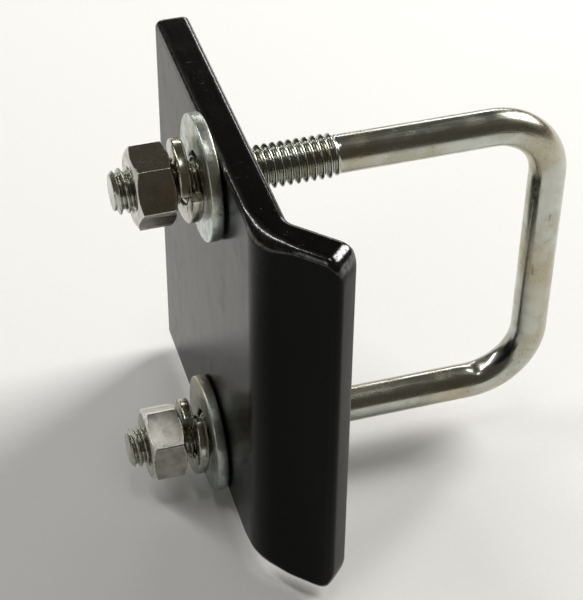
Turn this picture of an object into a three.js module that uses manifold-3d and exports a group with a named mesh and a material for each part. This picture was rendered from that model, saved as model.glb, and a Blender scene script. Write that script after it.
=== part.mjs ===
// A U-bolt clamp: a square-bend U-bolt whose two threaded legs pass through a bent clamp plate.
// Each leg carries a flat washer, a split lock washer and a hexagon nut.
//
// Frame, in millimetres: the clamp plate's inner face is the plane X = 0, and the legs run along +X
// from the nuts to the crossbar. +Z goes from the lower leg to the upper one, and the plate's flange
// leans away on the -Y side. The origin is the middle of the clamp face, half way between the legs.
import * as THREE from 'three';
import { mergeVertices } from 'three/addons/utils/BufferGeometryUtils.js';
import Module from 'manifold-3d';

const wasm = await Module();
wasm.setup();

// ---- driving dimensions -------------------------------------------------------------------------

// Screw thread, 5/16-18: its pitch, crest and root, and what the nut leaves free all round.
const THREAD_PITCH = 25.4 / 18;
const THREAD_CREST_R = 3.93;
const THREAD_ROOT_R = 3.1;
const THREAD_CREST_FLAT = THREAD_PITCH / 8;
const THREAD_CLEARANCE = 0.25;
const THREAD_LENGTH = 40;
const THREAD_RUNOUT = 1.9;
const LEG_END_CHAMFER = 0.9;

// U-bolt rod. Its tapered tips lie hidden in the threads' cores.
const SHANK_R = 3.4;
const HIDDEN_TIP_R = 2.8;
const HIDDEN_TIP_LENGTH = 2.8;
const LEG_SPACING = 60.3;
const CROSSBAR_X = 56.5;
const ROD_BEND_R = 11.9;
const LEG_STICKOUT = 3.3;

// Clamp plate: flat from PLATE_FAR on the +Y side to PLATE_NEAR on the -Y side, then the flange.
const PLATE_T = 6.35;
const PLATE_EDGE_MARGIN = 7.95;
const PLATE_FAR = 39.3;
const PLATE_NEAR = 23.5;
const FLANGE_ANGLE = THREE.MathUtils.degToRad(45);
const FLANGE_BEND_R = 3;
const FLANGE_LENGTH = 11.3;
const PLATE_EDGE_R = 1;
const BEND_DRAWN_R = 2.6;
const FAR_CORNER_R = 2;
const FLANGE_CORNER_R = 3.2;
const HOLE_CLEARANCE = 0.8;

// Hardware on each leg.
const STACK_GAP = 0.3;
const FLAT_WASHER_R = 11.11;
const FLAT_WASHER_T = 2.1;
const FLAT_WASHER_CLEARANCE = 0.83;
const FLAT_WASHER_CHAMFER = 0.25;
const LOCK_WASHER_WIDTH = 3.2;
const LOCK_WASHER_T = 2;
const LOCK_WASHER_RISE = 2;
const LOCK_WASHER_CLEARANCE = 0.22;
const LOCK_WASHER_SPLIT = THREE.MathUtils.degToRad(9);
const UPPER_LOCK_SPLIT_AT = THREE.MathUtils.degToRad(170);
const LOWER_LOCK_SPLIT_AT = THREE.MathUtils.degToRad(112);
const NUT_ACROSS_FLATS = 12.7;
const NUT_T = 6.75;
const NUT_FACE_R = 6.05;
const NUT_CHAMFER = 0.75;
const NUT_MOUTH_MARGIN = 0.1;
const UPPER_NUT_TURN = THREE.MathUtils.degToRad(4);
const LOWER_NUT_TURN = THREE.MathUtils.degToRad(26);

// Facets round a thread, the plain rod, and a washer or cone; steps along a bend and over an edge.
const THREAD_SIDES = 16;
const ROD_SIDES = 32;
const RING_SIDES = 36;
const ROD_BEND_STEPS = 12;
const PLATE_BEND_STEPS = 8;
const EDGE_STEPS = 3;

// A cutter runs OVERRUN past a face, and a trimming solid clears the crests that it keeps by SKIN.
const OVERRUN = 1;
const SKIN = 0.05;
const WELD_DISTANCE = 1e-4;
const CLOSEST_STATIONS = 1e-3;

// ---- sizes that follow --------------------------------------------------------------------------

const LEG_Z = LEG_SPACING / 2;
const PLATE_TOP = LEG_Z + PLATE_EDGE_MARGIN;
const WASHER_BACK_X = -PLATE_T - STACK_GAP;
const LOCK_BACK_X = WASHER_BACK_X - FLAT_WASHER_T - STACK_GAP;
const NUT_BACK_X = LOCK_BACK_X - LOCK_WASHER_T - LOCK_WASHER_RISE - STACK_GAP;
const LEG_END_X = NUT_BACK_X - NUT_T - LEG_STICKOUT;
const THREAD_END_X = LEG_END_X + THREAD_LENGTH;
const NUT_CORNER_R = NUT_ACROSS_FLATS / 2 / Math.cos(Math.PI / 6);

// ---- solids -------------------------------------------------------------------------------------

function toSolid(geometry) {
  const bare = geometry.index ? geometry.toNonIndexed() : geometry.clone();
  bare.deleteAttribute('normal');
  bare.deleteAttribute('uv');
  const merged = mergeVertices(bare, WELD_DISTANCE);
  const mesh = new wasm.Mesh({
    numProp: 3,
    vertProperties: new Float32Array(merged.attributes.position.array),
    triVerts: new Uint32Array(merged.index.array),
  });
  return new wasm.Manifold(mesh);
}

function toGeometry(solid) {
  const mesh = solid.getMesh();
  const geometry = new THREE.BufferGeometry();
  geometry.setAttribute('position', new THREE.BufferAttribute(new Float32Array(mesh.vertProperties), 3));
  geometry.setIndex(new THREE.BufferAttribute(new Uint32Array(mesh.triVerts), 1));
  const flat = geometry.toNonIndexed();
  flat.computeVertexNormals();
  return flat;
}

// A closed skin over rings of points, all of one count, closed by a fan at each end.
function loft(rings) {
  const count = rings[0].length;
  const points = rings.flat();
  const triangles = [];
  for (let r = 0; r + 1 < rings.length; r += 1) {
    for (let i = 0; i < count; i += 1) {
      const a = r * count + i;
      const b = r * count + (i + 1) % count;
      triangles.push(a, b, b + count, a, b + count, a + count);
    }
  }
  const addCap = (start, flip) => {
    const middle = new THREE.Vector3();
    for (let i = 0; i < count; i += 1) middle.addScaledVector(points[start + i], 1 / count);
    const tip = points.push(middle) - 1;
    for (let i = 0; i < count; i += 1) {
      const a = start + i;
      const b = start + (i + 1) % count;
      triangles.push(tip, flip ? b : a, flip ? a : b);
    }
  };
  addCap(0, true);
  addCap((rings.length - 1) * count, false);
  const geometry = new THREE.BufferGeometry().setFromPoints(points);
  geometry.setIndex(triangles);
  return geometry;
}

// A body of revolution about the X axis; each profile point is [x, radius].
function turned(profile, sides) {
  const outline = profile.map(([x, radius]) => new THREE.Vector2(radius, x));
  if (THREE.ShapeUtils.isClockWise(outline)) outline.reverse();
  const geometry = new THREE.LatheGeometry(outline, sides);
  geometry.rotateZ(-Math.PI / 2);
  return toSolid(geometry);
}

// A right-hand screw about the X axis that covers xFrom to xTo and more. Its phase is the same
// whatever its length, so that a nut's thread matches the leg's.
function screw(xFrom, xTo, rootR, crestR) {
  const firstX = (Math.floor(xFrom / THREAD_PITCH) - 1) * THREAD_PITCH;
  const turns = Math.ceil((xTo - firstX) / THREAD_PITCH) + 2;
  const steps = turns * THREAD_SIDES;
  const profile = [
    [0, rootR],
    [(THREAD_PITCH - THREAD_CREST_FLAT) / 2, crestR],
    [(THREAD_PITCH + THREAD_CREST_FLAT) / 2, crestR],
  ];
  const points = [];
  const index = (step, k) => {
    const turn = Math.floor(k / profile.length) * THREAD_SIDES;
    return (step + turn) * profile.length + (k % profile.length);
  };
  for (let step = 0; step <= steps + THREAD_SIDES; step += 1) {
    const angle = (step / THREAD_SIDES) * 2 * Math.PI;
    for (const [x, radius] of profile) {
      const along = firstX + (step / THREAD_SIDES) * THREAD_PITCH + x;
      points.push(new THREE.Vector3(along, radius * Math.cos(angle), radius * Math.sin(angle)));
    }
  }
  const triangles = [];
  for (let step = 0; step < steps; step += 1) {
    for (let k = 0; k < profile.length; k += 1) {
      const a = index(step, k);
      const b = index(step, k + 1);
      const c = index(step + 1, k + 1);
      const d = index(step + 1, k);
      triangles.push(a, c, b, a, d, c);
    }
  }
  const addEnd = (step, flip) => {
    const x = firstX + (step / THREAD_SIDES + 0.5) * THREAD_PITCH;
    const tip = points.push(new THREE.Vector3(x, 0, 0)) - 1;
    const rim = profile.map((_, k) => index(step, k));
    for (let s = THREAD_SIDES; s > 0; s -= 1) rim.push(index(step + s, 0));
    rim.forEach((from, i) => {
      const to = rim[(i + 1) % rim.length];
      triangles.push(tip, flip ? to : from, flip ? from : to);
    });
  };
  addEnd(0, false);
  addEnd(steps, true);
  const geometry = new THREE.BufferGeometry().setFromPoints(points);
  geometry.setIndex(triangles);
  return toSolid(geometry);
}

function atLeg(solid, side) {
  return solid.translate([0, 0, side * LEG_Z]);
}

// ---- U-bolt -------------------------------------------------------------------------------------

function legThread() {
  const trimmed = turned([
    [LEG_END_X, 0],
    [LEG_END_X, THREAD_CREST_R - LEG_END_CHAMFER],
    [LEG_END_X + LEG_END_CHAMFER, THREAD_CREST_R + SKIN],
    [THREAD_END_X - THREAD_RUNOUT, THREAD_CREST_R + SKIN],
    [THREAD_END_X, THREAD_ROOT_R - SKIN],
    [THREAD_END_X, 0],
  ], ROD_SIDES);
  return screw(LEG_END_X, THREAD_END_X, THREAD_ROOT_R, THREAD_CREST_R).intersect(trimmed);
}

// The plain rod: a station is a point on the centre line, the rod's direction there and its radius.
function rodStations() {
  const bendX = CROSSBAR_X - ROD_BEND_R;
  const bendZ = LEG_Z - ROD_BEND_R;
  const upper = [
    { x: THREAD_END_X - HIDDEN_TIP_LENGTH, z: LEG_Z, turn: 0, radius: HIDDEN_TIP_R },
    { x: THREAD_END_X, z: LEG_Z, turn: 0, radius: SHANK_R },
  ];
  for (let i = 0; i <= ROD_BEND_STEPS; i += 1) {
    const turn = (i / ROD_BEND_STEPS) * (Math.PI / 2);
    upper.push({
      x: bendX + ROD_BEND_R * Math.sin(turn),
      z: bendZ + ROD_BEND_R * Math.cos(turn),
      turn,
      radius: SHANK_R,
    });
  }
  const lower = upper.map(({ x, z, turn, radius }) => ({ x, z: -z, turn: Math.PI - turn, radius }));
  return [...upper, ...lower.reverse()];
}

function plainRod() {
  return toSolid(loft(rodStations().map(({ x, z, turn, radius }) => {
    const ring = [];
    for (let i = 0; i < ROD_SIDES; i += 1) {
      const angle = (i / ROD_SIDES) * 2 * Math.PI;
      const outward = radius * Math.sin(angle);
      ring.push(new THREE.Vector3(
        x + outward * Math.sin(turn),
        radius * Math.cos(angle),
        z + outward * Math.cos(turn),
      ));
    }
    return ring;
  })));
}

function uBolt() {
  const thread = legThread();
  return plainRod().add(atLeg(thread, 1)).add(atLeg(thread, -1));
}

// ---- clamp plate --------------------------------------------------------------------------------

const BEND_MEAN_R = FLANGE_BEND_R + PLATE_T / 2;
const BEND_START = PLATE_FAR + PLATE_NEAR;
const BEND_END = BEND_START + BEND_MEAN_R * FLANGE_ANGLE;
const PLATE_LENGTH = BEND_END + FLANGE_LENGTH;

// The point a distance along the plate from its far end, and a depth in from its outer face.
function platePoint(along, depth, z) {
  if (along <= BEND_START) return new THREE.Vector3(depth - PLATE_T, PLATE_FAR - along, z);
  const angle = Math.min((along - BEND_START) / BEND_MEAN_R, FLANGE_ANGLE);
  const radius = FLANGE_BEND_R + PLATE_T - depth;
  const past = Math.max(along - BEND_END, 0);
  return new THREE.Vector3(
    FLANGE_BEND_R - radius * Math.cos(angle) + past * Math.sin(angle),
    -PLATE_NEAR - radius * Math.sin(angle) - past * Math.cos(angle),
    z,
  );
}

// How far a quarter-round corner of the given radius cuts in, at a distance from the end it rounds.
function roundIn(radius, fromEnd) {
  const left = Math.max(radius - fromEnd, 0);
  return radius - Math.sqrt(radius * radius - left * left);
}

// Bending draws the outer face's edges in: their rounding swells to BEND_DRAWN_R in mid-bend.
function outerEdgeR(along) {
  const share = THREE.MathUtils.clamp((along - BEND_START) / (BEND_END - BEND_START), 0, 1);
  return PLATE_EDGE_R + (BEND_DRAWN_R - PLATE_EDGE_R) * Math.sin(Math.PI * share) ** 2;
}

// The plate's rounded cross-section at a distance along it.
function plateRing(along) {
  const fromEnd = Math.min(along, PLATE_LENGTH - along);
  const inset = roundIn(PLATE_EDGE_R, fromEnd);
  const cornerR = along > PLATE_LENGTH / 2 ? FLANGE_CORNER_R : FAR_CORNER_R;
  const top = PLATE_TOP - inset - roundIn(cornerR, fromEnd);
  const outer = inset;
  const inner = PLATE_T - inset;
  const corners = [
    { depth: outer, z: top, radius: outerEdgeR(along), from: 0 },
    { depth: outer, z: -top, radius: outerEdgeR(along), from: 1 },
    { depth: inner, z: -top, radius: PLATE_EDGE_R, from: 2 },
    { depth: inner, z: top, radius: PLATE_EDGE_R, from: 3 },
  ];
  const middle = PLATE_T / 2;
  return corners.flatMap(({ depth, z, radius, from }) => {
    const intoDepth = Math.sign(middle - depth) * radius;
    const intoZ = -Math.sign(z) * radius;
    const arc = [];
    for (let i = 0; i <= EDGE_STEPS; i += 1) {
      const angle = ((i / EDGE_STEPS + from) * Math.PI) / 2;
      arc.push(platePoint(
        along,
        depth + intoDepth - radius * Math.sin(angle),
        z + intoZ + radius * Math.cos(angle),
      ));
    }
    return arc;
  });
}

function plateStations() {
  const stations = [];
  const addEnd = (radius, place) => {
    for (let i = 0; i <= EDGE_STEPS; i += 1) {
      const angle = ((i / EDGE_STEPS) * Math.PI) / 2;
      stations.push(place(PLATE_EDGE_R * (1 - Math.cos(angle))));
      if (i > 0) stations.push(place(PLATE_EDGE_R + (radius - PLATE_EDGE_R) * (i / EDGE_STEPS) ** 2));
    }
  };
  addEnd(FAR_CORNER_R, (d) => d);
  for (let i = 0; i <= PLATE_BEND_STEPS; i += 1) {
    stations.push(BEND_START + (BEND_END - BEND_START) * (i / PLATE_BEND_STEPS));
  }
  addEnd(FLANGE_CORNER_R, (d) => PLATE_LENGTH - d);
  stations.sort((a, b) => a - b);
  return stations.filter((s, i) => i === 0 || s - stations[i - 1] > CLOSEST_STATIONS);
}

function clampPlate() {
  const body = toSolid(loft(plateStations().map(plateRing)));
  const holeR = THREAD_CREST_R + HOLE_CLEARANCE;
  const drill = turned([
    [-PLATE_T - OVERRUN, 0],
    [-PLATE_T - OVERRUN, holeR],
    [OVERRUN, holeR],
    [OVERRUN, 0],
  ], RING_SIDES);
  return body.subtract(atLeg(drill, 1)).subtract(atLeg(drill, -1));
}

// ---- washers and nut, each built on the X axis ------------------------------------------------

function flatWasher() {
  const boreR = THREAD_CREST_R + FLAT_WASHER_CLEARANCE;
  const front = WASHER_BACK_X - FLAT_WASHER_T;
  return turned([
    [front, boreR],
    [front, FLAT_WASHER_R - FLAT_WASHER_CHAMFER],
    [front + FLAT_WASHER_CHAMFER, FLAT_WASHER_R],
    [WASHER_BACK_X - FLAT_WASHER_CHAMFER, FLAT_WASHER_R],
    [WASHER_BACK_X, FLAT_WASHER_R - FLAT_WASHER_CHAMFER],
    [WASHER_BACK_X, boreR],
    [front, boreR],
  ], RING_SIDES);
}

// One sprung turn of square wire, as it stands before the nut flattens it.
function lockWasher(splitAt) {
  const boreR = THREAD_CREST_R + LOCK_WASHER_CLEARANCE;
  const sweep = 2 * Math.PI - LOCK_WASHER_SPLIT;
  const rings = [];
  for (let i = 0; i <= RING_SIDES; i += 1) {
    const share = i / RING_SIDES;
    const angle = splitAt + LOCK_WASHER_SPLIT / 2 + share * sweep;
    const back = LOCK_BACK_X - LOCK_WASHER_RISE * share;
    const front = back - LOCK_WASHER_T;
    const outerR = boreR + LOCK_WASHER_WIDTH;
    const section = [[back, boreR], [back, outerR], [front, outerR], [front, boreR]];
    rings.push(section.map(([x, r]) => new THREE.Vector3(x, r * Math.cos(angle), r * Math.sin(angle))));
  }
  return toSolid(loft(rings));
}

function hexPrism(turn) {
  const corners = [];
  for (let i = 0; i < 6; i += 1) {
    const angle = turn + (i * Math.PI) / 3;
    corners.push(new THREE.Vector2(NUT_CORNER_R * Math.cos(angle), NUT_CORNER_R * Math.sin(angle)));
  }
  const geometry = new THREE.ExtrudeGeometry(new THREE.Shape(corners), { depth: NUT_T, bevelEnabled: false });
  geometry.applyMatrix4(new THREE.Matrix4().makeBasis(
    new THREE.Vector3(0, 1, 0),
    new THREE.Vector3(0, 0, 1),
    new THREE.Vector3(1, 0, 0),
  ));
  geometry.translate(NUT_BACK_X - NUT_T, 0, 0);
  return toSolid(geometry);
}

function hexNut(turn) {
  const front = NUT_BACK_X - NUT_T;
  const outside = NUT_CORNER_R + OVERRUN;
  const slope = (outside - NUT_FACE_R) / (NUT_CORNER_R - NUT_FACE_R) * NUT_CHAMFER;
  const cones = turned([
    [front, 0],
    [front, NUT_FACE_R],
    [front + slope, outside],
    [NUT_BACK_X - slope, outside],
    [NUT_BACK_X, NUT_FACE_R],
    [NUT_BACK_X, 0],
  ], RING_SIDES);
  const mouthR = THREAD_CREST_R + THREAD_CLEARANCE + NUT_MOUTH_MARGIN;
  const countersink = (faceX, inward) => turned([
    [faceX - inward * OVERRUN, 0],
    [faceX - inward * OVERRUN, mouthR],
    [faceX, mouthR],
    [faceX + inward * mouthR, 0],
  ], RING_SIDES);
  const tap = screw(front, NUT_BACK_X, THREAD_ROOT_R + THREAD_CLEARANCE, THREAD_CREST_R + THREAD_CLEARANCE);
  const blank = hexPrism(turn).intersect(cones);
  return blank.subtract(tap).subtract(countersink(front, 1)).subtract(countersink(NUT_BACK_X, -1));
}

// ---- assembly -----------------------------------------------------------------------------------

const zinc = (color, roughness) => new THREE.MeshStandardMaterial({ color, roughness, metalness: 1 });
const blackPaint = new THREE.MeshStandardMaterial({ color: 0x0e0e0d, roughness: 0.18, metalness: 0 });

const clamp = new THREE.Group();

function addPiece(name, solid, material) {
  const mesh = new THREE.Mesh(toGeometry(solid), material);
  mesh.name = name;
  clamp.add(mesh);
}

addPiece('u_bolt', uBolt(), zinc(0xb9bcb4, 0.28));
addPiece('clamp_plate', clampPlate(), blackPaint);
const legs = [
  { level: 'upper', side: 1, nutTurn: UPPER_NUT_TURN, splitAt: UPPER_LOCK_SPLIT_AT },
  { level: 'lower', side: -1, nutTurn: LOWER_NUT_TURN, splitAt: LOWER_LOCK_SPLIT_AT },
];
for (const { level, side, nutTurn, splitAt } of legs) {
  addPiece(`${level}_flat_washer`, atLeg(flatWasher(), side), zinc(0xb4bdb8, 0.32));
  addPiece(`${level}_lock_washer`, atLeg(lockWasher(splitAt), side), zinc(0xaeb1aa, 0.25));
  addPiece(`${level}_hex_nut`, atLeg(hexNut(nutTurn), side), zinc(0xa9aba4, 0.35));
}

export default clamp;
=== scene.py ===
# %% [markdown]
# # A U-bolt clamp, piece by piece
# The object is a square-bend U-bolt whose two threaded legs pass through a bent black plate. On each
# leg sit a flat washer, a split lock washer and a hexagon nut. This lesson loads the measured CAD
# model as a frame, makes each piece again in fine detail in the same place, and gives each one its
# own finish. All lengths are in metres, so MM turns a workshop size into Blender's units.

import math

import bmesh
import bpy
from mathutils import Matrix, Vector


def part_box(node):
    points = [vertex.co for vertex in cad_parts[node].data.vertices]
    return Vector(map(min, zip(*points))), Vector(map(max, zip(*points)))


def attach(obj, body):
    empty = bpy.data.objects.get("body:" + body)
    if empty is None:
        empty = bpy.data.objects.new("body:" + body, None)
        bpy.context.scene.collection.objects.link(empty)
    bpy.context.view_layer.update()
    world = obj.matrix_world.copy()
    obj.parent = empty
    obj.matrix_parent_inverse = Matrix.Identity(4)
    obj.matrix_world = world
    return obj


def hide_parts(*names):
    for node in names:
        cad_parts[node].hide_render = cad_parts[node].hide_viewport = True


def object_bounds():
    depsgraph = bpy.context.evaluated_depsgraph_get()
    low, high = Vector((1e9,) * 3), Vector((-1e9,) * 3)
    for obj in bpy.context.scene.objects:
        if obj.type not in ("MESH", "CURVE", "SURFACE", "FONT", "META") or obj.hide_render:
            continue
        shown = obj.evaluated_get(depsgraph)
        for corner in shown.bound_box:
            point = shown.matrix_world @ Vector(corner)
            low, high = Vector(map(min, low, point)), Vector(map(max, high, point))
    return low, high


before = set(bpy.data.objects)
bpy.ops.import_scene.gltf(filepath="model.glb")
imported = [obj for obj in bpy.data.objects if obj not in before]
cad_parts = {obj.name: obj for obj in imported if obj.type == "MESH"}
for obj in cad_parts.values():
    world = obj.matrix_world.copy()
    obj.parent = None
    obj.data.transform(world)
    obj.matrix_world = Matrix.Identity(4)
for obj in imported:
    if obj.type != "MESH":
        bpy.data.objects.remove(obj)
cad_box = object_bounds()
MM = 0.001

# %% [markdown]
# The frame already knows every size that the pieces share, so those are read from its boxes and not
# typed again. The U-bolt's box gives the thread's crest, the legs' height and both ends of the rod.

# %% Read the shared sizes
rod_low, rod_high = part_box("u_bolt")
plate_low, plate_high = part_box("clamp_plate")
crest_r = rod_high.y
leg_z = rod_high.z - crest_r
leg_end_x = rod_low.x
crossbar_outer_x = rod_high.x
plate_t = -plate_low.x
LEGS = {"upper": 1, "lower": -1}
print(f"legs {2 * leg_z / MM:.1f} mm apart, thread {2 * crest_r / MM:.2f} mm across its crests")
print(f"plate {plate_t / MM:.2f} mm thick")

# %% [markdown]
# Node trees are easier to read as formulas. This class wraps one socket of a tree, and each operator
# on it adds a Math node. Each operator has its reflected form, so that 1 - mask works too. The class
# works in a shader and in Geometry Nodes alike.

# %% A socket that does arithmetic
class Socket:
    def __init__(self, tree, socket):
        self.tree, self.socket = tree, socket

    def math(self, operation, *others):
        values = dict(enumerate((self, *others)))
        return self.tree.node("ShaderNodeMath", {"operation": operation}, values)

    def other(self, name):
        return Socket(self.tree, self.socket.node.outputs[name])

    def __add__(self, other):
        return self.math("ADD", other)

    def __radd__(self, other):
        return self.math("ADD", other)

    def __sub__(self, other):
        return self.math("SUBTRACT", other)

    def __rsub__(self, other):
        return self.tree.number(other).math("SUBTRACT", self)

    def __mul__(self, other):
        return self.math("MULTIPLY", other)

    def __rmul__(self, other):
        return self.math("MULTIPLY", other)

    def __truediv__(self, other):
        return self.math("DIVIDE", other)

    def __rtruediv__(self, other):
        return self.tree.number(other).math("DIVIDE", self)

    def __pow__(self, other):
        return self.math("POWER", other)

    def __neg__(self):
        return self.math("MULTIPLY", -1)


print("a wrapped socket adds, subtracts, multiplies, divides and raises to a power")

# %% [markdown]
# Every other node comes from one method. Settings go in first, because some of them change which
# sockets the node has, and then its sockets get a number, a colour or a link each.

# %% A node tree with one method for nodes
class Nodes:
    def __init__(self, tree):
        self.tree = tree

    def node(self, kind, settings=None, inputs=None, output=0):
        made = self.tree.nodes.new(kind)
        for name, value in (settings or {}).items():
            setattr(made, name, value)
        for name, value in (inputs or {}).items():
            if isinstance(value, Socket):
                self.tree.links.new(value.socket, made.inputs[name])
            else:
                made.inputs[name].default_value = value
        return Socket(self, made.outputs[output]) if len(made.outputs) else made

    def number(self, value):
        return self.node("ShaderNodeMath", {"operation": "ADD"}, {0: value, 1: 0})


print("node helpers ready")

# %% [markdown]
# ## Geometry Nodes helpers
# Each tree gets named inputs for its sizes.

# %% Start a geometry tree, and turn one into a mesh
def geometry_tree(name, sizes):
    group = bpy.data.node_groups.new(name, "GeometryNodeTree")
    group.interface.new_socket(name="Mesh", in_out="OUTPUT", socket_type="NodeSocketGeometry")
    for size, kind in sizes.items():
        group.interface.new_socket(name=size, in_out="INPUT", socket_type=f"NodeSocket{kind}")
    nodes = Nodes(group)
    inputs = nodes.node("NodeGroupInput")
    return nodes, {size: inputs.other(size) for size in sizes}


def finish_tree(nodes, mesh, material):
    plain = nodes.node("GeometryNodeRealizeInstances", {}, {"Geometry": mesh})
    painted = nodes.node("GeometryNodeSetMaterial", {}, {"Geometry": plain, "Material": material})
    nodes.node("NodeGroupOutput", {}, {"Mesh": painted})


def mesh_from_tree(name, group, values):
    host = bpy.data.objects.new(name, bpy.data.meshes.new(name))
    bpy.context.scene.collection.objects.link(host)
    modifier = host.modifiers.new(name, "NODES")
    modifier.node_group = group
    for item in group.interface.items_tree:
        if item.in_out == "INPUT":
            modifier[item.identifier] = values[item.name]
    host.data.update()
    evaluated = host.evaluated_get(bpy.context.evaluated_depsgraph_get())
    mesh = bpy.data.meshes.new_from_object(evaluated)
    host.modifiers.remove(modifier)
    host.data = mesh
    mesh.name = name
    return host


print("geometry tree helpers ready")

# %% [markdown]
# A mesh made from rings or cut by another solid has its doubles merged, its faces turned outwards and
# its shading set last: faces that meet at a small angle look round, and real edges stay crisp.

# %% Small mesh helpers
WELD = 1e-7


def object_from(name, points, faces, material=None):
    mesh = bpy.data.meshes.new(name)
    mesh.from_pydata(points, [], faces)
    if material is not None:
        mesh.materials.append(material)
    made = bpy.data.objects.new(name, mesh)
    bpy.context.scene.collection.objects.link(made)
    return made


def tidy_mesh(piece, edge_angle):
    work = bmesh.new()
    work.from_mesh(piece.data)
    bmesh.ops.remove_doubles(work, verts=work.verts, dist=WELD)
    bmesh.ops.dissolve_degenerate(work, dist=WELD, edges=work.edges)
    bmesh.ops.recalc_face_normals(work, faces=work.faces)
    work.to_mesh(piece.data)
    work.free()
    piece.data.shade_smooth()
    piece.data.set_sharp_from_angle(angle=edge_angle)


def apply_modifiers(piece):
    evaluated = piece.evaluated_get(bpy.context.evaluated_depsgraph_get())
    mesh = bpy.data.meshes.new_from_object(evaluated)
    piece.modifiers.clear()
    piece.data = mesh


def cut_away(piece, tool):
    modifier = piece.modifiers.new("cut", "BOOLEAN")
    modifier.operation = "DIFFERENCE"
    modifier.solver = "EXACT"
    modifier.object = tool
    apply_modifiers(piece)


def count(piece):
    triangles = sum(len(face.vertices) - 2 for face in piece.data.polygons)
    print(f"{piece.name}: {triangles} triangles")


print("mesh helpers ready")

# %% [markdown]
# ## Finishes
# Every finish is procedural: noise at the piece's own place picks between two colours and moves the
# roughness and the bump. A few short helpers name the nodes that all the finishes share.

# %% Shader helpers
MIX_COLOR_A, MIX_COLOR_B, MIX_COLOR_RESULT = 6, 7, 2


def new_material(name):
    material = bpy.data.materials.new(name)
    material.use_nodes = True
    material.node_tree.nodes.clear()
    return material, Nodes(material.node_tree)


def noise(nodes, vector, scale, detail=3.0, roughness=0.55):
    sizes = {"Vector": vector, "Scale": scale, "Detail": detail, "Roughness": roughness}
    return nodes.node("ShaderNodeTexNoise", {}, sizes)


def spread(nodes, value, low, high, to_low=0.0, to_high=1.0):
    sizes = {"Value": value, "From Min": low, "From Max": high, "To Min": to_low, "To Max": to_high}
    return nodes.node("ShaderNodeMapRange", {"interpolation_type": "SMOOTHSTEP"}, sizes)


def mixed(nodes, factor, a, b):
    colors = {"Factor": factor, MIX_COLOR_A: a, MIX_COLOR_B: b}
    return nodes.node("ShaderNodeMix", {"data_type": "RGBA"}, colors, output=MIX_COLOR_RESULT)


def stretched(nodes, vector, scale):
    return nodes.node("ShaderNodeVectorMath", {"operation": "MULTIPLY"}, {0: vector, 1: scale})


def finish_material(nodes, inputs):
    surface = nodes.node("ShaderNodeBsdfPrincipled", {}, inputs)
    nodes.node("ShaderNodeOutputMaterial", {}, {"Surface": surface})


print("shader helpers ready")

# %% [markdown]
# The rod, washers and nuts are plated with bright zinc. On the real parts it is a mirror that has been
# handled: fine lines drawn along the wire, cloudy patches, small dark specks in hollows and a faint
# straw tint. Each effect is a mask between 0 and 1. Where the skin is hollow, dirt stays, and where it
# stands out, it turns a near-white colour: partly worn-bare zinc, partly a painted highlight on edges
# and corners. One function makes all four zinc finishes.

# %% A clouded, streaked zinc
# near-white colour for convex edges and corners: partly worn-bare zinc, partly a painted highlight
WORN_EDGE_AND_HIGHLIGHT = (0.88, 0.88, 0.85, 1)
STRAW = (0.40, 0.34, 0.22, 1)
DARK_OXIDE = (0.10, 0.085, 0.06, 1)
TINT_SIZE = 17 * MM
SPECK_SIZE = 0.35 * MM


def zinc(
    name, bright, cloudy, streak_scale, roughness, cloud_size, bump,
    hollows=0.0, highlight_and_wear=0.0, attribute=None,
):
    material, nodes = new_material(name)
    if attribute:
        place = nodes.node("ShaderNodeAttribute", {"attribute_name": attribute}, {}, output="Vector")
    else:
        place = nodes.node("ShaderNodeTexCoord", {}, {}, output="Object")
    clouds = noise(nodes, place, 1 / cloud_size, 4.0, 0.6)
    tints = noise(nodes, place, 1 / TINT_SIZE, 2.0, 0.5)
    streaks = noise(nodes, stretched(nodes, place, streak_scale), 1.0, 2.0, 0.5)
    scratches = noise(nodes, stretched(nodes, place, streak_scale), 0.45, 1.0, 0.4)
    specks = noise(nodes, place, 1 / SPECK_SIZE, 2.0, 0.6)
    cloud_mask = spread(nodes, clouds, 0.38, 0.66)
    speck_mask = spread(nodes, specks, 0.61, 0.72) * spread(nodes, clouds, 0.45, 0.6)
    scratch_mask = spread(nodes, scratches, 0.68, 0.74) * spread(nodes, clouds, 0.5, 0.62)
    dirt_mask = speck_mask.math("MAXIMUM", scratch_mask)
    edge = nodes.node("ShaderNodeNewGeometry", {}, {}, output="Pointiness")
    hollow = spread(nodes, edge, 0.44, 0.495, 1.0, 0.0) * hollows
    # painted highlight and wear: convex edges and corners, found by pointiness, are lightened towards
    # the near-white edge colour
    edge_highlight_and_wear = spread(nodes, edge, 0.515, 0.57) * spread(nodes, streaks, 0.3, 0.6, 0.5, 1.0) * highlight_and_wear
    plate_color = mixed(nodes, cloud_mask, bright, cloudy)
    straw = mixed(nodes, spread(nodes, tints, 0.46, 0.66) * 0.6, plate_color, STRAW)
    dulled = mixed(nodes, dirt_mask * 0.6, straw, DARK_OXIDE)
    color = mixed(nodes, edge_highlight_and_wear, mixed(nodes, hollow, dulled, DARK_OXIDE), WORN_EDGE_AND_HIGHLIGHT)
    polish = roughness + cloud_mask * 0.08 + (streaks - 0.5) * 0.16
    dullness = polish + dirt_mask * 0.2 + hollow * 0.15 + edge_highlight_and_wear * 0.2
    height = streaks * 0.5 + clouds * 0.8 + specks * 0.15 - scratch_mask
    relief = {"Strength": 1.0, "Distance": bump, "Height": height}
    normal = nodes.node("ShaderNodeBump", {}, relief)
    finish_material(
        nodes, {"Base Color": color, "Metallic": 1.0, "Roughness": dullness, "Normal": normal}
    )
    return material


print("zinc recipe ready")
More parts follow.
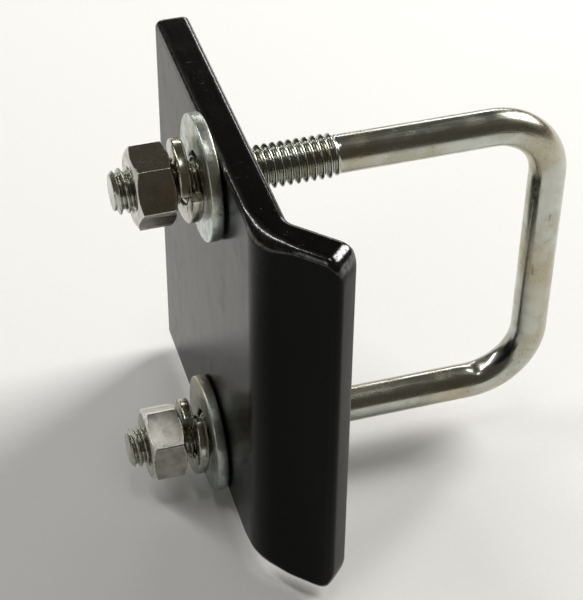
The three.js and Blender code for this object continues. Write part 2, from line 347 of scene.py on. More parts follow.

# %% [markdown]
# Each piece passes its own grain. The rod's pattern follows an attribute that is straight along the
# wire, so its drawn lines go round the bends with it. The washers are the dullest, with a fine even
# grain, and the nuts the shiniest, with the most edge wear and painted highlight on their corners.

# %% The four zinc finishes
rod_zinc = zinc(
    "zinc_rod", (0.50, 0.52, 0.48, 1), (0.41, 0.41, 0.34, 1), (150, 3000, 3000),
    roughness=0.20, cloud_size=5 * MM, bump=0.006 * MM, hollows=0.55, highlight_and_wear=0.25, attribute="along_rod",
)
washer_zinc = zinc(
    "zinc_washer", (0.54, 0.60, 0.57, 1), (0.38, 0.43, 0.41, 1), (1900, 1900, 1900),
    roughness=0.31, cloud_size=1.8 * MM, bump=0.08 * MM,
)
lock_zinc = zinc(
    "zinc_lock_washer", (0.46, 0.50, 0.48, 1), (0.32, 0.35, 0.33, 1), (1400, 1400, 1400),
    roughness=0.18, cloud_size=1.6 * MM, bump=0.015 * MM, highlight_and_wear=0.4,
)
nut_zinc = zinc(
    "zinc_nut", (0.43, 0.42, 0.38, 1), (0.31, 0.29, 0.25, 1), (900, 1900, 1900),
    roughness=0.16, cloud_size=3 * MM, bump=0.012 * MM, hollows=0.4, highlight_and_wear=0.9,
)
print("zinc finishes:", rod_zinc.name, washer_zinc.name, lock_zinc.name, nut_zinc.name)

# %% [markdown]
# The plate wears a thick coat of black gloss paint over mill scale. The coat is smooth but not flat:
# it has a faint orange peel, a few dust nibs and some wipe marks that are a little less shiny. Wet
# paint creeps to the rounded edges and dries thicker and glossier there, so a clear coat is strongest
# on them, and where an edge has been knocked it has worn thin to a dark brown. The plate stands on
# edge, so a rounded edge is where its skin faces neither sideways nor straight up.

# %% Thick black gloss paint
BLACK = (0.0026, 0.0024, 0.0023, 1)
WORN_BROWN = (0.05, 0.034, 0.022, 1)
PEEL_SIZE = 0.7 * MM
WAVE_SIZE = 14 * MM
PAINT_RELIEF = 0.045 * MM
PAINT_IOR = 1.16
COAT_IOR = 1.7
COAT_ROUGHNESS = 0.18


def black_paint():
    material, nodes = new_material("black_paint")
    place = nodes.node("ShaderNodeTexCoord", {}, {}, output="Object")
    peel = noise(nodes, place, 1 / PEEL_SIZE, 3.0, 0.6)
    waves = noise(nodes, place, 1 / WAVE_SIZE, 2.0, 0.5)
    wipes = noise(nodes, stretched(nodes, place, (230, 230, 110)), 1.0, 4.0, 0.65)
    nibs = noise(nodes, place, 1 / PEEL_SIZE, 1.0, 0.4)
    facing = nodes.node("ShaderNodeNewGeometry", {}, {}, output="Normal")
    upward = nodes.node("ShaderNodeSeparateXYZ", {}, {0: facing}, output="Z") ** 2
    edge = upward * (1 - upward) * 4
    worn = spread(nodes, edge, 0.7, 1.0) * spread(nodes, wipes, 0.56, 0.72)
    color = mixed(nodes, worn * 0.8, BLACK, WORN_BROWN)
    dull = spread(nodes, wipes, 0.5, 0.75)
    nib_mask = spread(nodes, nibs, 0.71, 0.78)
    gloss = spread(nodes, edge, 0.02, 0.3) * spread(nodes, peel, 0.35, 0.6, 0.35, 1.0)
    height = peel * 0.35 + waves * 2.0 + nib_mask * 0.5
    relief = {"Strength": 1.0, "Distance": PAINT_RELIEF, "Height": height}
    normal = nodes.node("ShaderNodeBump", {}, relief)
    finish_material(nodes, {
        "Base Color": color, "Roughness": 0.2 + dull * 0.06 + worn * 0.25, "IOR": PAINT_IOR,
        "Coat Weight": gloss, "Coat Roughness": COAT_ROUGHNESS, "Coat IOR": COAT_IOR,
        "Normal": normal,
    })
    return material


paint = black_paint()
print("paint:", paint.name)

# %% [markdown]
# ## The U-bolt
# The real one is a wire with a thread rolled on both ends, then bent twice. Rolling pushes metal up
# between the dies, so the crests stand higher than the plain shank. These sizes belong to the rod and
# its thread, and the rest is worked out from them: where the rows of its grid lie along the wire.

# %% Sizes of the rod and its thread
THREAD_PITCH = 25.4 / 18 * MM
THREAD_DEPTH = 0.83 * MM
THREAD_LENGTH = 40 * MM
THREAD_RUN_OUT = 1.9 * MM
SHANK_R = 3.4 * MM
ROD_BEND_R = 11.9 * MM
END_CHAMFER = 0.9 * MM
DENT_DEPTH = 0.32 * MM
DENT_LENGTH = 1.7 * MM
ROWS_PER_PITCH = 18
ROD_COLUMNS = 64
PLAIN_ROWS = 200
END_ROWS = 12
THREAD_SHARP_ANGLE = math.radians(62)

row_step = THREAD_PITCH / ROWS_PER_PITCH
end_span = END_ROWS * row_step
crossbar_x = crossbar_outer_x - SHANK_R
half_crossbar = leg_z - ROD_BEND_R
bend_length = ROD_BEND_R * math.pi / 2
half_length = half_crossbar + bend_length + (crossbar_x - ROD_BEND_R - leg_end_x)
thread_rows = math.ceil((end_span + THREAD_LENGTH) / row_step) + 2 * ROWS_PER_PITCH
plain_half = half_length + end_span + THREAD_PITCH - thread_rows * row_step
print(f"the wire is {2 * half_length / MM:.0f} mm long, with {thread_rows} rows on each thread")

# %% [markdown]
# It could be a curve with a round profile and a thread laid over it, but then the thread would float
# on the shank. Here Geometry Nodes wrap one grid round the bent centre line. The grid's rows run along
# a helix, not round a circle: the last column of a row meets the first column of the row one pitch
# further on. So the rows follow the thread, its crests stay sharp, and the skin closes on itself
# without a seam. The rows lie close together on both threads and far apart on the plain shank.

# %% The grid, and how far along the wire each point lies
def row_distance(size, at_row):
    threaded = at_row.math("MINIMUM", size["Thread rows"])
    past = at_row - size["Thread rows"]
    plain = past.math("MAXIMUM", 0).math("MINIMUM", size["Plain rows"])
    other = (past - size["Plain rows"]).math("MAXIMUM", 0)
    start = -(size["Half length"] + size["End span"] + size["Pitch"])
    fine = size["Pitch"] / size["Rows per pitch"]
    coarse = size["Plain half"] * 2 / size["Plain rows"]
    return start + (threaded + other) * fine + plain * coarse


def helical_grid(nodes, size):
    columns = size["Columns"]
    last_row = size["Thread rows"] * 2 + size["Plain rows"] - size["Rows per pitch"]
    counts = {"Vertices X": last_row + 1, "Vertices Y": columns + 1}
    grid = nodes.node("GeometryNodeMeshGrid", {}, counts)
    index = nodes.node("GeometryNodeInputIndex")
    row = (index / (columns + 1)).math("FLOOR")
    column = index - row * (columns + 1)
    here = row_distance(size, row)
    above = row_distance(size, row + size["Rows per pitch"])
    along = here + (above - here) * (column / columns)
    return grid, along, column / columns * math.tau


print("helical grid ready")

# %% [markdown]
# The radius at a point depends on how far along and how far round it lies. The thread's flank is
# halfway between a straight line and a soft curve, as rolling leaves it, and it fades into the shank.
# The bending die leaves a pressed mark inside each bend, deeper in the lower one. Past the end of a
# leg, the rows shrink to the middle and become the flat end.

# %% The radius of the rod
ROOT_SHARE, CREST_SHARE = 0.14, 0.9
DENT_NARROWNESS = 6
DENT_UNEVENNESS = 0.4


def spread_linear(nodes, value, low, high):
    sizes = {"Value": value, "From Min": low, "From Max": high}
    return nodes.node("ShaderNodeMapRange", {"clamp": True}, sizes)


def thread_radius(nodes, size, along, turn):
    phase = (along - turn / math.tau * size["Pitch"]) / size["Pitch"]
    ridge = ((phase - phase.math("FLOOR")) * 2 - 1).math("ABSOLUTE")
    flank = spread_linear(nodes, ridge, ROOT_SHARE, CREST_SHARE)
    rounded = spread(nodes, ridge, ROOT_SHARE, CREST_SHARE)
    crest = (flank + rounded) * 0.5
    return size["Crest radius"] - (1 - crest) * size["Thread depth"]


def pressed_mark(size, along, turn):
    off_dent = (along.math("ABSOLUTE") - size["Dent place"]) / size["Dent length"]
    inner = (-turn.math("COSINE")).math("MAXIMUM", 0) ** DENT_NARROWNESS
    pressed = (-(off_dent * off_dent)).math("EXPONENT") * inner
    return pressed * size["Dent depth"] * (1 - along.math("SIGN") * DENT_UNEVENNESS)


def rod_radius(nodes, size, along, turn):
    from_end = size["Half length"] - along.math("ABSOLUTE")
    threaded_r = thread_radius(nodes, size, along, turn)
    fade = spread(nodes, from_end - size["Thread length"] + size["Run-out"], 0, size["Run-out"])
    radius = threaded_r + (size["Shank radius"] - threaded_r) * fade - pressed_mark(size, along, turn)
    end_r = size["Crest radius"] - size["End chamfer"]
    chamfered = radius.math("MINIMUM", end_r + from_end.math("MAXIMUM", 0))
    return chamfered * spread_linear(nodes, from_end, -size["End span"], 0)


print("rod radius ready")

# %% [markdown]
# The centre line is half a crossbar, a quarter circle and a leg, and the same again the other way. A
# point goes out from it by its radius. The place along the straightened wire is kept as an attribute,
# which the zinc's drawn lines follow.

# %% The bent centre line, and the whole tree
def bent_place(nodes, size, along, outward, sideways):
    reach = along.math("ABSOLUTE").math("MINIMUM", size["Half length"])
    half_bar = size["Leg height"] - size["Bend radius"]
    past_bar = reach - half_bar
    bent = (past_bar / size["Bend radius"]).math("MAXIMUM", 0).math("MINIMUM", math.pi / 2)
    on_leg = (past_bar - size["Bend radius"] * (math.pi / 2)).math("MAXIMUM", 0)
    arm = size["Bend radius"] + outward
    x = size["Crossbar"] - size["Bend radius"] + arm * bent.math("COSINE") - on_leg
    z = reach.math("MINIMUM", half_bar) + arm * bent.math("SINE")
    return nodes.node("ShaderNodeCombineXYZ", {}, {0: x, 1: sideways, 2: z * along.math("SIGN")})


def rod_tree(material):
    sizes = {
        "Crest radius": "Float", "Thread depth": "Float", "Shank radius": "Float", "Pitch": "Float",
        "Thread length": "Float", "Run-out": "Float", "End chamfer": "Float", "Leg height": "Float",
        "Crossbar": "Float", "Bend radius": "Float", "Half length": "Float", "Plain half": "Float",
        "Thread rows": "Int", "Plain rows": "Int", "Columns": "Int", "Rows per pitch": "Int",
        "End span": "Float", "Dent depth": "Float", "Dent length": "Float", "Dent place": "Float",
    }
    nodes, size = geometry_tree("wrapped rod", sizes)
    grid, along, turn = helical_grid(nodes, size)
    ring_r = rod_radius(nodes, size, along, turn)
    outward = ring_r * turn.math("COSINE")
    sideways = ring_r * turn.math("SINE")
    place = bent_place(nodes, size, along, outward, sideways)
    wrapped = nodes.node("GeometryNodeSetPosition", {}, {"Geometry": grid, "Position": place})
    straight = nodes.node("ShaderNodeCombineXYZ", {}, {0: along, 1: outward, 2: sideways})
    kind = {"data_type": "FLOAT_VECTOR", "domain": "POINT"}
    stored = {"Geometry": wrapped, "Name": "along_rod", "Value": straight}
    marked = nodes.node("GeometryNodeStoreNamedAttribute", kind, stored)
    closed = nodes.node("GeometryNodeMergeByDistance", {}, {"Geometry": marked, "Distance": 1e-6})
    outside = nodes.node("GeometryNodeFlipFaces", {}, {"Mesh": closed})
    finish_tree(nodes, outside, material)
    return nodes.tree


rod_group = rod_tree(rod_zinc)
print("rod tree:", len(rod_group.nodes), "nodes")

# %% [markdown]
# The tree only holds the rule. Its sizes go in by name, so the same tree can make the tap for the nuts
# later, with another crest radius.

# %% Wrap the rod
ROD_SIZES = {
    "Crest radius": crest_r, "Thread depth": THREAD_DEPTH, "Shank radius": SHANK_R,
    "Pitch": THREAD_PITCH, "Thread length": THREAD_LENGTH, "Run-out": THREAD_RUN_OUT,
    "End chamfer": END_CHAMFER, "Leg height": leg_z, "Crossbar": crossbar_x,
    "Bend radius": ROD_BEND_R, "Half length": half_length, "Plain half": plain_half,
    "Thread rows": thread_rows, "Plain rows": PLAIN_ROWS, "Columns": ROD_COLUMNS,
    "Rows per pitch": ROWS_PER_PITCH, "End span": end_span,
    "Dent depth": DENT_DEPTH, "Dent length": DENT_LENGTH,
    "Dent place": half_crossbar + bend_length * 0.9,
}
u_bolt = mesh_from_tree("u_bolt_rod", rod_group, ROD_SIZES)
tidy_mesh(u_bolt, THREAD_SHARP_ANGLE)
count(u_bolt)

# %% [markdown]
# ## The clamp plate
# The real plate is cut from bar, bent along one side and painted. A bevelled box could be bent with a
# modifier, but a carried cross-section keeps its thickness exact and gives every edge its own rounding.
# The lengths along the plate are measured along its middle, where bending doesn't stretch it.

# %% Sizes of the plate
PLATE_NEAR = 23.5 * MM
FLANGE_ANGLE = math.radians(45)
FLANGE_BEND_R = 3 * MM
FLANGE_LENGTH = 11.47 * MM
EDGE_R = 1.4 * MM
DRAWN_EDGE_R = 2.8 * MM
DRAWN_REACH = 4 * MM
FAR_CORNER_R = 2 * MM
FLANGE_CORNER_R = 3.2 * MM
HOLE_R = crest_r + 0.8 * MM
EDGE_STEPS = 8
FLAT_MARGIN = 0.3 * MM
PLATE_SHARP_ANGLE = math.radians(20)

plate_far = plate_high.y
plate_top = plate_high.z
bend_mean_r = FLANGE_BEND_R + plate_t / 2
bend_start = plate_far + PLATE_NEAR
bend_end = bend_start + bend_mean_r * FLANGE_ANGLE
plate_length = bend_end + FLANGE_LENGTH
print(f"flat {bend_start / MM:.1f} mm, then a bend, {plate_length / MM:.1f} mm in all")

# %% [markdown]
# A point of the plate is named by how far along it lies, how deep it is under the outer face and how
# high it is. Bending stretches the outer face and draws its edges in, so there the rounding swells. A
# row of points just beside each rounding keeps the flat faces flat in the shading.

# %% One point of the plate, and one rounded ring
def plate_point(along, depth, z):
    angle = min(max(along - bend_start, 0) / bend_mean_r, FLANGE_ANGLE)
    radius = FLANGE_BEND_R + plate_t - depth
    before = min(along - bend_start, 0)
    past = max(along - bend_end, 0)
    x = FLANGE_BEND_R - radius * math.cos(angle) + past * math.sin(angle)
    y = -PLATE_NEAR - before - radius * math.sin(angle) - past * math.cos(angle)
    return (x, y, z)


def round_in(radius, from_end):
    left = max(radius - from_end, 0)
    return radius - math.sqrt(max(radius * radius - left * left, 0))


def outer_edge_r(along):
    drawn_from, drawn_to = bend_start - DRAWN_REACH, bend_end + DRAWN_REACH
    share = min(max((along - drawn_from) / (drawn_to - drawn_from), 0), 1)
    return EDGE_R + (DRAWN_EDGE_R - EDGE_R) * math.sin(math.pi * share) ** 2


def plate_ring(along):
    from_end = min(along, plate_length - along)
    corner_r = FLANGE_CORNER_R if along > plate_length / 2 else FAR_CORNER_R
    inset = round_in(EDGE_R, from_end)
    top = plate_top - inset - round_in(corner_r, from_end)
    swollen = outer_edge_r(along)
    inner = plate_t - inset - EDGE_R
    corners = [
        (inset + swollen, top - swollen, swollen), (inset + swollen, swollen - top, swollen),
        (inner, EDGE_R - top, EDGE_R), (inner, top - EDGE_R, EDGE_R),
    ]
    ring = []
    for quarter, (depth, z, radius) in enumerate(corners):
        for step in range(-1, EDGE_STEPS + 2):
            turned_by = min(max(step, 0), EDGE_STEPS) / EDGE_STEPS
            flat = FLAT_MARGIN * (step - turned_by * EDGE_STEPS)
            angle = (turned_by + quarter) * math.pi / 2
            ring.append(plate_point(
                along,
                depth - radius * math.sin(angle) - flat * math.cos(angle),
                z + radius * math.cos(angle) - flat * math.sin(angle),
            ))
    return ring


print(len(plate_ring(0)), "points in each ring of the plate")

# %% [markdown]
# The rings stand close together where the shape turns quickly, at both ends and over the bend, and far
# apart on the flat. Neighbouring rings are joined with faces, and the first and last ring are closed.

# %% Carry the ring along the plate
FLAT_PARTS, BEND_PARTS, DRAWN_PARTS = 12, 20, 8


def end_stations(corner_r):
    quarters = [math.pi / 2 * i / EDGE_STEPS for i in range(EDGE_STEPS + 1)]
    rounding = [EDGE_R * (1 - math.cos(quarter)) for quarter in quarters]
    corner = [EDGE_R + (corner_r - EDGE_R) * (i / EDGE_STEPS) ** 2 for i in range(1, EDGE_STEPS + 1)]
    return rounding + corner


def plate_stations():
    flat = [bend_start * i / FLAT_PARTS for i in range(1, FLAT_PARTS)]
    bend = [bend_start + (bend_end - bend_start) * i / BEND_PARTS for i in range(BEND_PARTS + 1)]
    drawn = [DRAWN_REACH * i / DRAWN_PARTS for i in range(1, DRAWN_PARTS + 1)]
    stations = end_stations(FAR_CORNER_R) + flat + bend
    stations += [bend_start - s for s in drawn] + [bend_end + s for s in drawn]
    stations += [plate_length - s for s in end_stations(FLANGE_CORNER_R)]
    return sorted(set(round(s, 8) for s in stations))


def carried(rings):
    size = len(rings[0])
    points = [point for ring in rings for point in ring]
    faces = []
    for r in range(len(rings) - 1):
        for i in range(size):
            a, b = r * size + i, r * size + (i + 1) % size
            faces.append((a, b, b + size, a + size))
    faces.append(tuple(reversed(range(size))))
    faces.append(tuple(range((len(rings) - 1) * size, len(rings) * size)))
    return points, faces


plate_rings = [plate_ring(station) for station in plate_stations()]
plate = object_from("clamp_plate_painted", *carried(plate_rings), paint)
tidy_mesh(plate, PLATE_SHARP_ANGLE)
count(plate)

# %% [markdown]
# The holes are drilled last, as on the real plate. The drill is a turned solid, a profile carried round
# the leg's axis. It flares a little at each face, so that the hole gets a rim that the paint can round
# over, and it goes on through the faces as a cone, so that no edge of it lies exactly in a face.

# %% Drill the two holes
CUTTER_SHARP_ANGLE = math.radians(30)
DRILL_SIDES = 96
DRILL_FLARE = 0.5 * MM


def turned(name, profile, sides, z):
    points = [
        (x, radius * math.cos(math.tau * s / sides), z + radius * math.sin(math.tau * s / sides))
        for x, radius in profile for s in range(sides)
    ]
    faces = []
    for k in range(len(profile) - 1):
        for s in range(sides):
            a, b = k * sides + s, k * sides + (s + 1) % sides
            faces.append((a, b, b + sides, a + sides))
    faces.append(tuple(reversed(range(sides))))
    faces.append(tuple(range((len(profile) - 1) * sides, len(profile) * sides)))
    made = object_from(name, points, faces)
    tidy_mesh(made, CUTTER_SHARP_ANGLE)
    return made


def drill_profile():
    lip = DRILL_FLARE / 3
    wide = HOLE_R + DRILL_FLARE + 2 * MM
    return [
        (-plate_t - MM, wide), (lip - plate_t, HOLE_R + lip), (DRILL_FLARE - plate_t, HOLE_R),
        (-DRILL_FLARE, HOLE_R), (-lip, HOLE_R + lip), (MM, wide),
    ]


for level, side in LEGS.items():
    drill = turned(f"{level}_drill", drill_profile(), DRILL_SIDES, side * leg_z)
    cut_away(plate, drill)
    bpy.data.objects.remove(drill)
tidy_mesh(plate, PLATE_SHARP_ANGLE)
count(plate)

# %% [markdown]
# ## Flat washers
# A flat washer is punched from sheet, tumbled with thousands of others and then plated, so its edges
# are round and its skin is never quite even. A plain cylinder with a hole would look turned. Geometry
# Nodes sweep a rounded profile round a circle, and then a noise pushes the whole skin in by up to a
# few hundredths of a millimetre.

# %% A ring swept round a circle
DENT_SCALE = 420


def ring_tree(name, material):
    sizes = {
        "Bore": "Float", "Radius": "Float", "Thickness": "Float", "Rounding": "Float",
        "Middle": "Vector", "Dents": "Float", "Seed": "Float", "Steps": "Int",
    }
    nodes, size = geometry_tree(name, sizes)
    width = size["Radius"] - size["Bore"]
    middle_r = (size["Radius"] + size["Bore"]) / 2
    path = {"Resolution": size["Steps"], "Radius": middle_r}
    circle = nodes.node("GeometryNodeCurvePrimitiveCircle", {}, path)
    flat = {"Width": width, "Height": size["Thickness"]}
    section = nodes.node("GeometryNodeCurvePrimitiveQuadrilateral", {}, flat)
    corners = {"Curve": section, "Count": 3, "Radius": size["Rounding"]}
    rounded = nodes.node("GeometryNodeFilletCurve", {"mode": "POLY"}, corners)
    swept = nodes.node("GeometryNodeCurveToMesh", {}, {"Curve": circle, "Profile Curve": rounded})
    pattern = {"W": size["Seed"], "Scale": DENT_SCALE, "Detail": 2.0}
    wear = nodes.node("ShaderNodeTexNoise", {"noise_dimensions": "4D"}, pattern)
    outward = nodes.node("GeometryNodeInputNormal")
    pushed = {0: outward, "Scale": -(wear * size["Dents"])}
    inward = nodes.node("ShaderNodeVectorMath", {"operation": "SCALE"}, pushed)
    dented = nodes.node("GeometryNodeSetPosition", {}, {"Geometry": swept, "Offset": inward})
    pose = {"Geometry": dented, "Rotation": (0, math.pi / 2, 0), "Translation": size["Middle"]}
    turned_up = nodes.node("GeometryNodeTransform", {}, pose)
    finish_tree(nodes, turned_up, material)
    return nodes.tree


flat_group = ring_tree("punched ring", washer_zinc)
print("ring tree:", len(flat_group.nodes), "nodes")

# %% [markdown]
# Both washers come from the same tree. Each has its own seed, a fixed one, so their dents differ from
# each other and are the same on every run.

# %% Make both flat washers
FLAT_BORE_R = crest_r + 0.83 * MM
FLAT_ROUNDING = 0.3 * MM
FLAT_DENTS = 0.03 * MM
RING_STEPS = 144
flat_washers = {}
for level, side in LEGS.items():
    low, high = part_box(f"{level}_flat_washer")
    flat_washers[level] = mesh_from_tree(f"{level}_flat_washer_zinc", flat_group, {
        "Bore": FLAT_BORE_R, "Radius": (high.z - low.z) / 2, "Thickness": high.x - low.x,
        "Rounding": FLAT_ROUNDING, "Middle": (low + high) / 2, "Dents": FLAT_DENTS,
        "Seed": float(side), "Steps": RING_STEPS,
    })
    tidy_mesh(flat_washers[level], math.radians(40))
    count(flat_washers[level])

# %% [markdown]
# ## Lock washers
# A split lock washer is one turn of square wire, wound left-handed and sprung apart, so that its two
# cut ends bite. A ring with a slot cut in it would lie flat, so the turn is drawn as a path: Geometry
# Nodes lay a line of points along it and sweep a square with rounded corners along them. The ends stay
# as the cutter left them.

# %% One sprung turn of square wire
LOCK_BORE_R = crest_r + 0.22 * MM
LOCK_WIDTH = 3.2 * MM
LOCK_T = 2 * MM
LOCK_SPLIT = math.radians(9)
LOCK_SPLIT_AT = {"upper": math.radians(170), "lower": math.radians(112)}
LOCK_ROUNDING = 0.45 * MM
SPRING_STEPS = 120


def spring_tree(material):
    sizes = {
        "Radius": "Float", "Back": "Float", "Rise": "Float", "First angle": "Float",
        "Sweep": "Float", "Leg height": "Float", "Width": "Float", "Thickness": "Float",
        "Rounding": "Float", "Steps": "Int",
    }
    nodes, size = geometry_tree("sprung washer", sizes)
    line = nodes.node("GeometryNodeCurvePrimitiveLine")
    points = nodes.node("GeometryNodeResampleCurve", {}, {"Curve": line, "Count": size["Steps"]})
    share = nodes.node("GeometryNodeSplineParameter")
    angle = size["First angle"] + share * size["Sweep"]
    place = nodes.node("ShaderNodeCombineXYZ", {}, {
        0: size["Back"] - size["Thickness"] * 0.5 - share * size["Rise"],
        1: size["Radius"] * angle.math("COSINE"),
        2: size["Leg height"] + size["Radius"] * angle.math("SINE"),
    })
    turn = nodes.node("GeometryNodeSetPosition", {}, {"Geometry": points, "Position": place})
    upright = nodes.node(
        "GeometryNodeSetCurveNormal", {"mode": "FREE"}, {"Curve": turn, "Normal": (1, 0, 0)}
    )
    square = {"Width": size["Thickness"], "Height": size["Width"]}
    section = nodes.node("GeometryNodeCurvePrimitiveQuadrilateral", {}, square)
    corners = {"Curve": section, "Count": 4, "Radius": size["Rounding"]}
    rounded = nodes.node("GeometryNodeFilletCurve", {"mode": "POLY"}, corners)
    wire = {"Curve": upright, "Profile Curve": rounded, "Fill Caps": True}
    swept = nodes.node("GeometryNodeCurveToMesh", {}, wire)
    finish_tree(nodes, swept, material)
    return nodes.tree


spring_group = spring_tree(lock_zinc)
print("spring tree:", len(spring_group.nodes), "nodes")

# %% [markdown]
# How far each washer is sprung comes from its box in the frame: what the box has beyond the wire's own
# thickness is the rise of its turn. The splits stand at different angles, as they do on real clamps.

# %% Make both lock washers
lock_washers = {}
for level, side in LEGS.items():
    low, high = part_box(f"{level}_lock_washer")
    lock_washers[level] = mesh_from_tree(f"{level}_lock_washer_zinc", spring_group, {
        "Radius": LOCK_BORE_R + LOCK_WIDTH / 2, "Back": high.x, "Rise": high.x - low.x - LOCK_T,
        "First angle": LOCK_SPLIT_AT[level] + LOCK_SPLIT / 2, "Sweep": math.tau - LOCK_SPLIT,
        "Leg height": side * leg_z, "Width": LOCK_WIDTH, "Thickness": LOCK_T,
        "Rounding": LOCK_ROUNDING, "Steps": SPRING_STEPS,
    })
    tidy_mesh(lock_washers[level], math.radians(35))
    count(lock_washers[level])

# %% [markdown]
# ## Nuts
# A nut starts as a hexagon whose corners are turned down to a cone at both faces, which draws the
# curved line on every flat. A hexagon cut by a cone would do it, but its corners would be knife-sharp.
# Here the outline is worked out round the circle, with a small radius on each corner, and the cone is
# how far each point lies behind the face. The steps across a flat crowd together near its corners.

# %% The turned hexagon
NUT_ACROSS_FLATS = 12.7 * MM
NUT_CORNER_R = 0.35 * MM
NUT_FACE_R = 6.05 * MM
NUT_CHAMFER = 0.75 * MM
NUT_FACE_ROUNDING = 0.12 * MM
NUT_TURN = {"upper": math.radians(4), "lower": math.radians(26)}
NUT_SHARP_ANGLE = math.radians(30)
CORNER_STEPS = (22, 26.5, 27.5, 28.2, 28.8, 29.4)
FLAT_STEPS = [-30, *(-s for s in reversed(CORNER_STEPS)), -14, -7, 0, 7, 14, *CORNER_STEPS]


def hex_radius(from_flat):
    half = NUT_ACROSS_FLATS / 2
    centre = (half - NUT_CORNER_R) / math.cos(math.pi / 6)
    on_flat = math.atan(centre * 0.5 / half)
    if abs(from_flat) <= on_flat:
        return half / math.cos(from_flat)
    from_corner = math.pi / 6 - abs(from_flat)
    rounding = math.sqrt(NUT_CORNER_R**2 - (centre * math.sin(from_corner)) ** 2)
    return centre * math.cos(from_corner) + rounding


def nut_blank(name, front, back, z, turn, material):
    corner_r = NUT_ACROSS_FLATS / 2 / math.cos(math.pi / 6)
    soft = NUT_FACE_ROUNDING
    lip_r = NUT_FACE_R + soft / 3
    profiles = []
    for flat in range(6):
        for step in FLAT_STEPS:
            angle = turn + math.radians(60 * flat + 30 + step)
            radius = hex_radius(math.radians(step))
            depth = (radius - NUT_FACE_R) / (corner_r - NUT_FACE_R) * NUT_CHAMFER
            profile = [
                (front, NUT_FACE_R - soft), (front + soft / 3, lip_r), (front + depth, radius),
                (front + depth + 2 * soft, radius), (back - depth - 2 * soft, radius),
                (back - depth, radius), (back - soft / 3, lip_r), (back, NUT_FACE_R - soft),
            ]
            profiles.append([(x, r * math.cos(angle), z + r * math.sin(angle)) for x, r in profile])
    blank = object_from(name, *carried(list(zip(*profiles))), material)
    tidy_mesh(blank, NUT_SHARP_ANGLE)
    return blank


nuts = {}
for level, side in LEGS.items():
    low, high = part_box(f"{level}_hex_nut")
    nuts[level] = nut_blank(
        f"{level}_hex_nut_zinc", low.x, high.x, side * leg_z, NUT_TURN[level], nut_zinc
    )
    count(nuts[level])

# %% [markdown]
# A real nut is countersunk on both faces and then tapped. The tap here is a copy of the rod that is a
# hair larger, with the same rows along its thread, so the nut's thread matches the rod's turn for turn.

# %% Countersink and tap both nuts
TAP_CLEARANCE = 0.12 * MM
SINK_R = crest_r + 0.35 * MM
SINK_DEPTH = 1.2 * MM
SINK_SIDES = 72
TAP_PLAIN_ROWS = 40
TAP_COLUMNS = 40


def countersink(nut, face, inward, z):
    steps = [(face - inward * MM, SINK_R + MM), (face + inward * SINK_DEPTH, SINK_R - SINK_DEPTH)]
    sink = turned("sink", steps if inward > 0 else steps[::-1], SINK_SIDES, z)
    cut_away(nut, sink)
    bpy.data.objects.remove(sink)


tap = mesh_from_tree("tap", rod_group, {
    **ROD_SIZES, "Crest radius": crest_r + TAP_CLEARANCE,
    "Plain rows": TAP_PLAIN_ROWS, "Columns": TAP_COLUMNS,
})
tidy_mesh(tap, THREAD_SHARP_ANGLE)
for level, side in LEGS.items():
    low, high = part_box(f"{level}_hex_nut")
    countersink(nuts[level], low.x, 1, side * leg_z)
    countersink(nuts[level], high.x, -1, side * leg_z)
    cut_away(nuts[level], tap)
    tidy_mesh(nuts[level], NUT_SHARP_ANGLE)
    count(nuts[level])
bpy.data.objects.remove(tap)

# %% [markdown]
# ## Camera, floor and light
# The camera looks down on the clamp from the nuts' side, through a long lens that keeps its sides
# nearly parallel. One helper aims the camera and, later, each light.

# %% The camera
CAMERA_AZIMUTH = math.radians(-17.22)
CAMERA_ELEVATION = math.radians(40.47)
CAMERA_ROLL = math.radians(0.69)
CAMERA_DISTANCE = 0.3332
CAMERA_TARGET = Vector((0.00839, 0, -0.00092))
LENS = 110


def aim(thing, place, target, roll=0.0):
    direction = (Vector(place) - Vector(target)).normalized()
    turn = direction.to_track_quat("Z", "Y").to_matrix().to_4x4()
    thing.matrix_world = Matrix.Translation(place) @ turn @ Matrix.Rotation(roll, 4, "Z")


def added(name, data):
    thing = bpy.data.objects.new(name, data)
    bpy.context.scene.collection.objects.link(thing)
    return thing


camera_data = bpy.data.cameras.new("camera")
camera_data.lens = LENS
camera_data.clip_start = 0.01
camera = added("camera", camera_data)
back = Vector((
    math.sin(CAMERA_AZIMUTH) * math.cos(CAMERA_ELEVATION),
    -math.cos(CAMERA_AZIMUTH) * math.cos(CAMERA_ELEVATION),
    math.sin(CAMERA_ELEVATION),
))
aim(camera, CAMERA_TARGET + back * CAMERA_DISTANCE, CAMERA_TARGET, CAMERA_ROLL)
bpy.context.scene.camera = camera
print("camera at", [round(c, 3) for c in camera.location])

# %% [markdown]
# The floor is plain, pale and matt. It lies a hair under the lowest point, so that the two never share
# a face.

# %% The floor
FLOOR_SIZE = 3.0
FLOOR_GAP = 0.02 * MM


def floor_material():
    material, nodes = new_material("pale_floor")
    place = nodes.node("ShaderNodeTexCoord", {}, {}, output="Object")
    grain = noise(nodes, place, 900, 3.0, 0.6)
    color = mixed(nodes, grain, (0.80, 0.80, 0.79, 1), (0.84, 0.84, 0.83, 1))
    finish_material(nodes, {"Base Color": color, "Roughness": 0.8, "Specular IOR Level": 0.0})
    return material


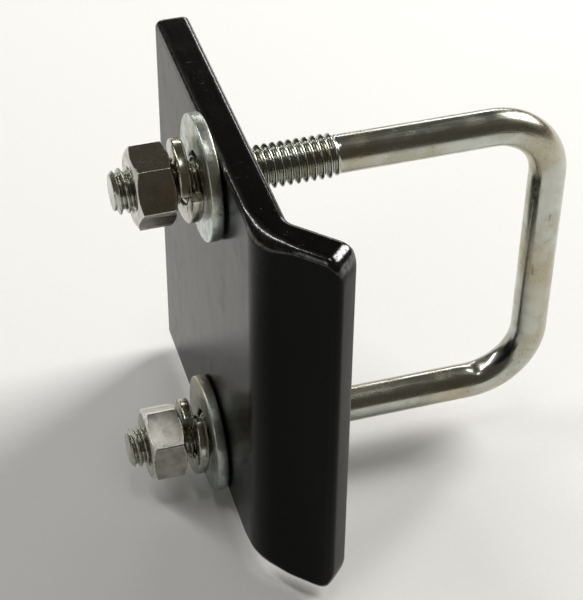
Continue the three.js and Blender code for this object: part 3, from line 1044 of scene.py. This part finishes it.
half_floor = FLOOR_SIZE / 2
floor_z = cad_box[0][2] - FLOOR_GAP
square_corners = ((-1, -1), (1, -1), (1, 1), (-1, 1))
floor_points = [(x * half_floor, y * half_floor, floor_z) for x, y in square_corners]
floor = object_from("floor", floor_points, [(0, 1, 2, 3)], floor_material())
print(f"floor at {floor_z / MM:.2f} mm")

# %% [markdown]
# The key is a soft box behind and above, so that the black plate shades the floor it mirrors. Two
# narrow strips draw the bright lines on the plate's top edge and along the zinc, and the room around
# is dim, which gives the zinc its dark bands.

# %% The lights
def soft_box(name, place, size, power, color=(1, 1, 1), roll=0.0):
    data = bpy.data.lights.new(name, "AREA")
    data.shape = "RECTANGLE"
    data.size, data.size_y = size
    data.energy = power
    data.color = color
    aim(added(name, data), Vector(place), Vector((0, 0, 0)), roll)


soft_box("key", (0.95, 0.33, 0.72), (0.6, 0.6), 18, (1.0, 0.98, 0.95))
soft_box("strip over the plate", (-0.57, 0.50, 0.79), (0.05, 1.0), 4, roll=math.radians(-24))
soft_box("strip behind", (0.32, 1.10, 0.38), (0.8, 0.12), 2.2)
soft_box("side", (-0.9, -0.5, 0.45), (0.3, 0.6), 1.0, (0.95, 0.98, 1.0))
soft_box("top", (0.0, -0.1, 1.3), (0.25, 0.25), 1.5)

world = bpy.data.worlds.new("studio")
bpy.context.scene.world = world
world.use_nodes = True
background = world.node_tree.nodes["Background"]
background.inputs["Color"].default_value = (0.085, 0.076, 0.058, 1)
background.inputs["Strength"].default_value = 1.0
bpy.context.scene.view_settings.view_transform = "Standard"
print("lights:", len(bpy.data.lights))

# %% [markdown]
# ## Put each piece on its body
# Every fine piece stands for one CAD node and moves with that node's body.

# %% Ride and replace
def stand_for(piece, body, node):
    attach(piece, body)
    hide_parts(node)


stand_for(u_bolt, "u_bolt", "u_bolt")
stand_for(plate, "clamp_plate", "clamp_plate")
for level in LEGS:
    stand_for(flat_washers[level], f"{level}_flat_washer", f"{level}_flat_washer")
    stand_for(lock_washers[level], f"{level}_lock_washer", f"{level}_lock_washer")
    stand_for(nuts[level], f"{level}_nut", f"{level}_hex_nut")
print("2 large pieces and", 3 * len(LEGS), "small ones are in place")
